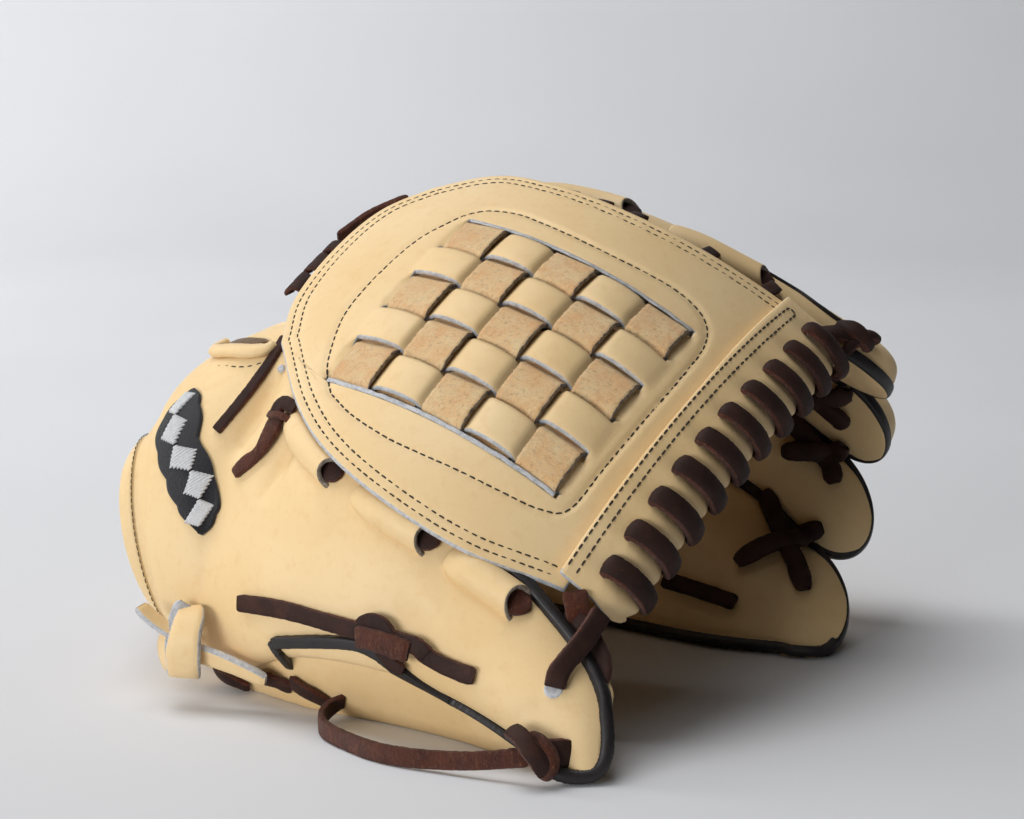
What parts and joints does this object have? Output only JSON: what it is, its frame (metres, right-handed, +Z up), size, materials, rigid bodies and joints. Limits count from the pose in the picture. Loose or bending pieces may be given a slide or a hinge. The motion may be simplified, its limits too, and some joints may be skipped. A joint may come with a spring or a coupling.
{
  "type": "pitcher glove",
  "caption": "Leather fielding glove for a pitcher with a closed woven web, dark rawhide laces and black bindings, lying palm down.",
  "frame": {"origin": "middle of the bounding box, on the floor the glove lies on", "axes": "+X from the wrist to the finger tips, +Y from the thumb side to the finger backs, +Z up as it lies"},
  "size_m": [0.2474, 0.2226, 0.1513],
  "materials": {
    "cream_leather": "smooth steerhide with fine grain, satin",
    "suede": "grainy flesh side, matte",
    "dark_lace": "oiled rawhide, satin",
    "black_binding": "thin binding leather, satin",
    "cream_lace": "rawhide, satin",
    "patch_felt": "felt, matte"
  },
  "bodies": {
    "root": {"palm": "cream_leather", "thumb_back": "cream_leather", "index_back": "cream_leather", "middle_back": "cream_leather", "ring_back": "cream_leather", "pinky_back": "cream_leather", "web_panel": "cream_leather", "web_band": "cream_leather", "thumb_loop_1": "cream_leather", "thumb_loop_2": "cream_leather", "thumb_loop_3": "cream_leather", "index_loop_1": "cream_leather", "index_loop_2": "cream_leather", "index_loop_3": "cream_leather", "weave_strip_1": "suede", "weave_strip_2": "suede", "weave_strip_3": "suede", "weave_strip_4": "suede", "weave_strip_5": "suede", "index_binding": "black_binding", "middle_binding": "black_binding", "ring_binding": "black_binding", "pinky_binding": "black_binding", "thumb_piping": "black_binding", "thumb_binding": "black_binding", "web_edge_lace": "dark_lace", "thumb_side_lace_1": "dark_lace", "thumb_side_lace_2": "dark_lace", "thumb_side_lace_3": "dark_lace", "index_side_lace_1": "dark_lace", "index_side_lace_2": "dark_lace", "index_side_lace_3": "dark_lace", "index_middle_lace": "dark_lace", "middle_ring_lace": "dark_lace", "ring_pinky_lace": "dark_lace", "pinky_lace": "dark_lace", "heel_lace": "dark_lace", "thumb_tie_lace": "dark_lace", "thumb_loop_lace": "dark_lace", "crotch_lace_flat": "dark_lace", "crotch_lace_twisted": "dark_lace", "crotch_side_lace": "dark_lace", "crotch_side_knot": "dark_lace", "corner_lace": "dark_lace", "index_tip_lace": "dark_lace", "strap_lace": "cream_lace", "patch": "patch_felt"}
  },
  "joints": []
}
